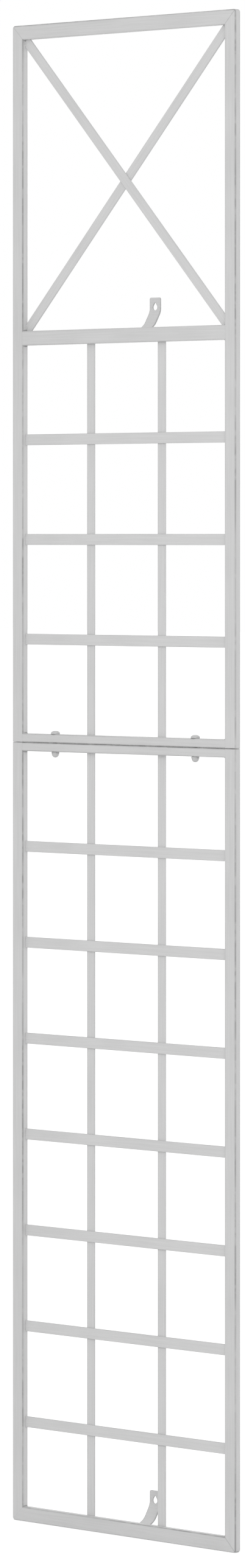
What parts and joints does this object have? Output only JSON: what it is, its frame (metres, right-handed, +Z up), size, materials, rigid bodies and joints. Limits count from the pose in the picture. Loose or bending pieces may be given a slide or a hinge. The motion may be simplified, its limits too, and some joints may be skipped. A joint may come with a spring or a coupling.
{
  "type": "garden trellis",
  "caption": "Tall narrow steel trellis for climbing plants: two bolted frames of flat bars, a cross-braced top window and keyhole brackets that stand it off a wall.",
  "frame": {"origin": "on the ground, midway across the trellis and midway between its front and the wall", "axes": "+X along the wall to the right as seen from the front, +Y towards the wall, +Z up"},
  "size_m": [0.42, 0.0358, 2.0694],
  "materials": {
    "tube_paint": "matt grey paint",
    "flat_paint": "matt grey paint",
    "strip_paint": "matt grey paint",
    "bolt_paint": "matt grey paint"
  },
  "bodies": {
    "root": {"upper_left_upright": "tube_paint", "upper_right_upright": "tube_paint", "top_rail": "tube_paint", "upper_meeting_rail": "tube_paint", "cross_rail": "tube_paint", "lower_left_upright": "tube_paint", "lower_right_upright": "tube_paint", "bottom_rail": "tube_paint", "lower_meeting_rail": "tube_paint", "front_brace": "flat_paint", "back_brace": "flat_paint", "upper_bar_1": "flat_paint", "upper_bar_2": "flat_paint", "upper_slat_1": "flat_paint", "upper_slat_2": "flat_paint", "upper_slat_3": "flat_paint", "lower_bar_1": "flat_paint", "lower_bar_2": "flat_paint", "lower_slat_1": "flat_paint", "lower_slat_2": "flat_paint", "lower_slat_3": "flat_paint", "lower_slat_4": "flat_paint", "lower_slat_5": "flat_paint", "lower_slat_6": "flat_paint", "lower_slat_7": "flat_paint", "upper_wall_bracket": "strip_paint", "lower_wall_bracket": "strip_paint", "left_joining_bolt": "bolt_paint", "right_joining_bolt": "bolt_paint", "left_cap_nut": "bolt_paint", "right_cap_nut": "bolt_paint"}
  },
  "joints": []
}
